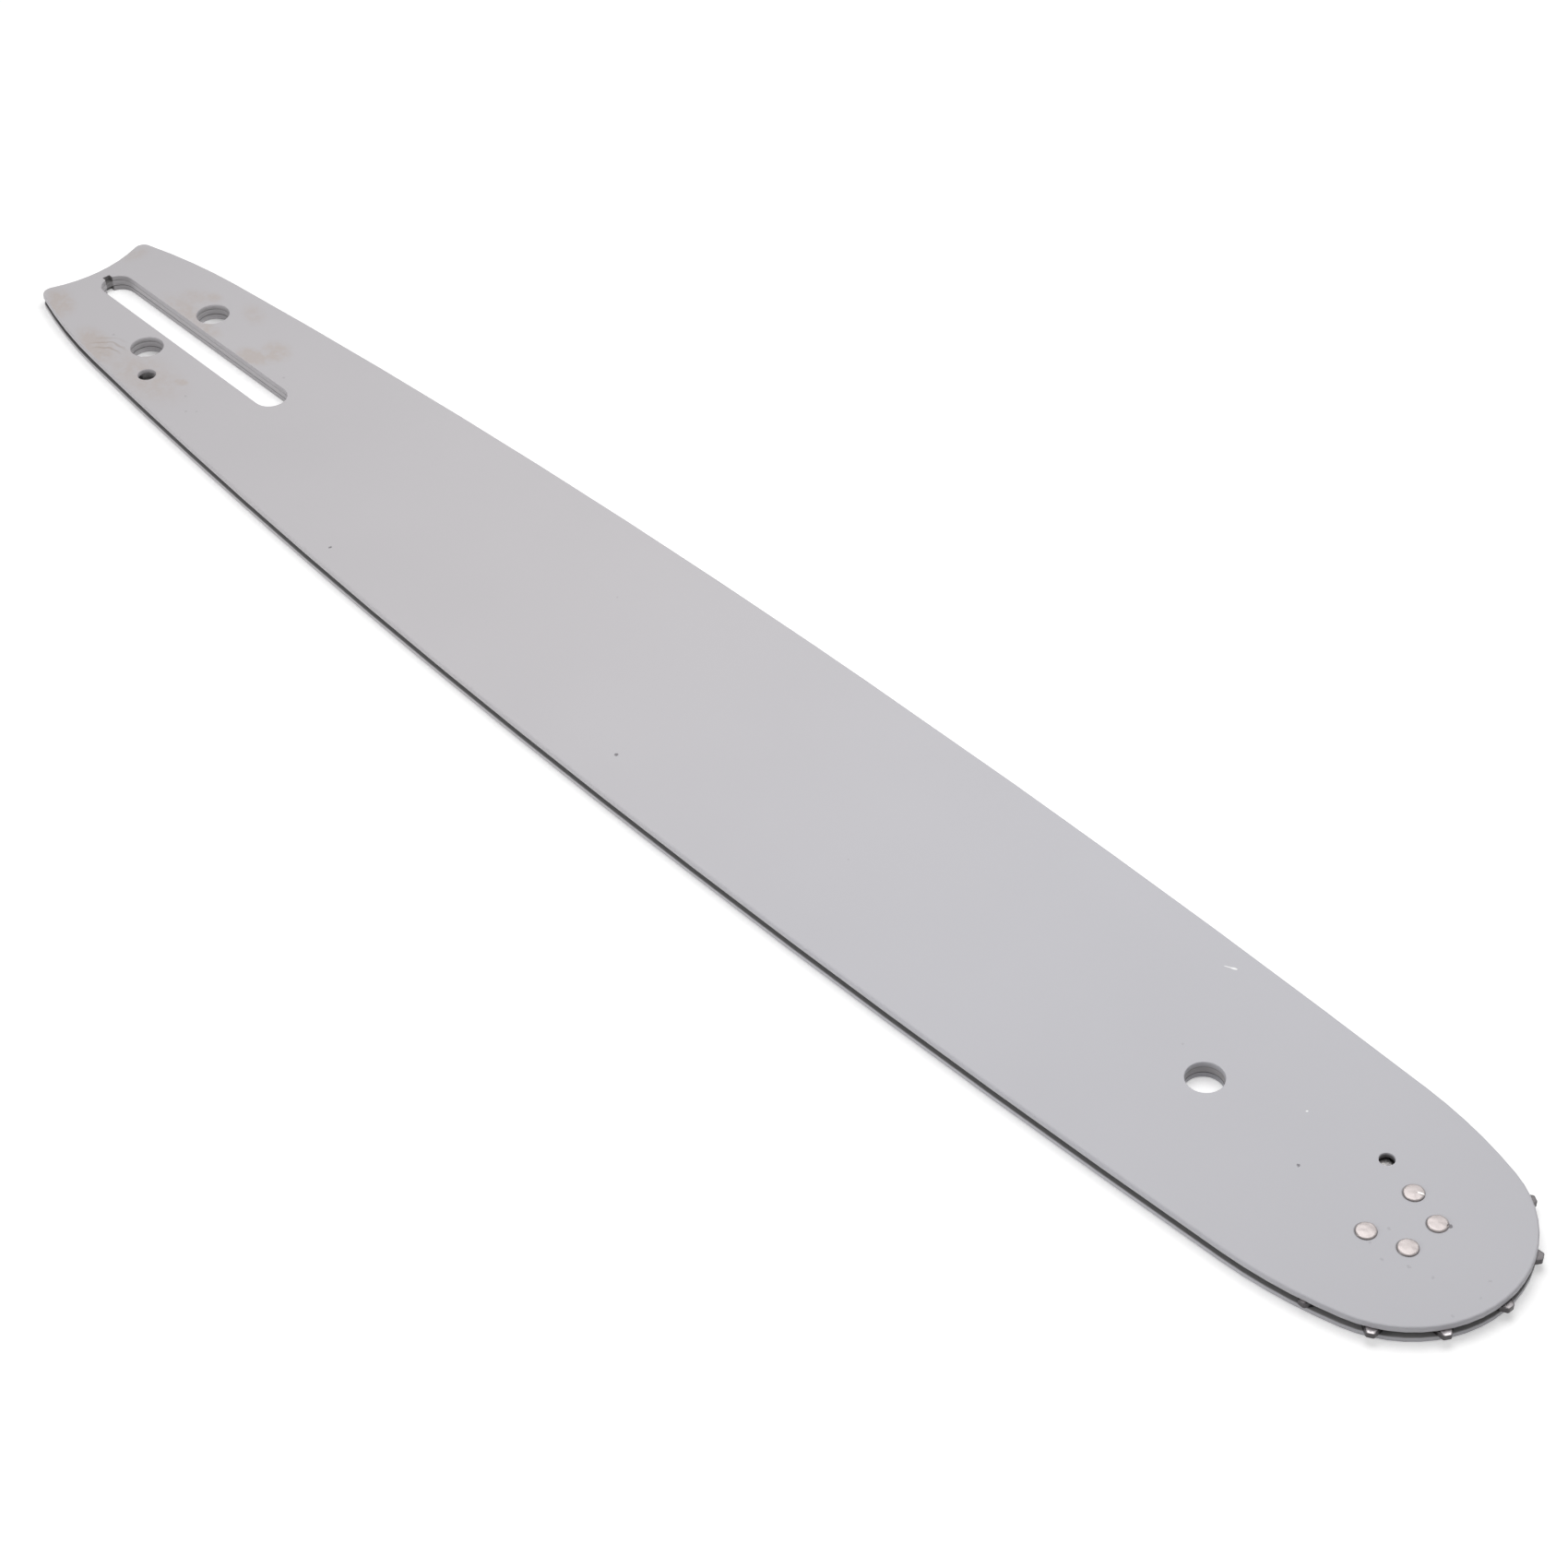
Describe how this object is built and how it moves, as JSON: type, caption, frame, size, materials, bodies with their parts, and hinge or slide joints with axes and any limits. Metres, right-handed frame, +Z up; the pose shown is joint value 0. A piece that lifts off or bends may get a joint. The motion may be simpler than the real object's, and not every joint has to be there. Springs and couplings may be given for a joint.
{
  "type": "chainsaw guide bar",
  "caption": "Long flat laminated guide bar for a chainsaw, with a stud slot at the tail, a chain groove round its edge and a free-turning toothed sprocket in its round nose.",
  "frame": {"origin": "on the bar's long centre line, midway between the two tensioner holes, on the underside", "axes": "+X along the bar from the tail to the nose, +Y across the bar, +Z up through its thickness; the bar lies flat on its lower side plate"},
  "size_m": [0.4772, 0.0684, 0.0045],
  "materials": {
    "bar_paint": "satin light grey paint",
    "core_steel": "bare sheet steel, dark in the groove",
    "sprocket_steel": "bare steel with bright tooth tips",
    "bearing_steel": "ground bearing steel",
    "rivet_steel": "bare steel ground flush"
  },
  "bodies": {
    "bar": {"upper_side_plate": "bar_paint", "core_plate": "core_steel", "lower_side_plate": "bar_paint", "bearing_inner_race": "bearing_steel", "nose_rivets": "rivet_steel"},
    "sprocket": {"nose_sprocket": "sprocket_steel"},
    "roller_set": {"bearing_roller_01": "bearing_steel", "bearing_roller_02": "bearing_steel", "bearing_roller_03": "bearing_steel", "bearing_roller_04": "bearing_steel", "bearing_roller_05": "bearing_steel", "bearing_roller_06": "bearing_steel", "bearing_roller_07": "bearing_steel", "bearing_roller_08": "bearing_steel", "bearing_roller_09": "bearing_steel", "bearing_roller_10": "bearing_steel", "bearing_roller_11": "bearing_steel", "bearing_roller_12": "bearing_steel", "bearing_roller_13": "bearing_steel", "bearing_roller_14": "bearing_steel", "bearing_roller_15": "bearing_steel", "bearing_roller_16": "bearing_steel", "bearing_roller_17": "bearing_steel", "bearing_roller_18": "bearing_steel", "bearing_roller_19": "bearing_steel", "bearing_roller_20": "bearing_steel"}
  },
  "joints": [
    {"name": "sprocket_spin", "type": "hinge", "parent": "bar", "child": "sprocket", "pos_m": [0.4091, 0, 0.00225], "axis": [0, 0, 1], "continuous": true},
    {"name": "roller_orbit", "type": "hinge", "parent": "bar", "child": "roller_set", "pos_m": [0.4091, 0, 0.00225], "axis": [0, 0, 1], "continuous": true}
  ],
  "couplings": [
    {"joint": "roller_orbit", "follows": "sprocket_spin", "ratio": 0.57843}
  ]
}
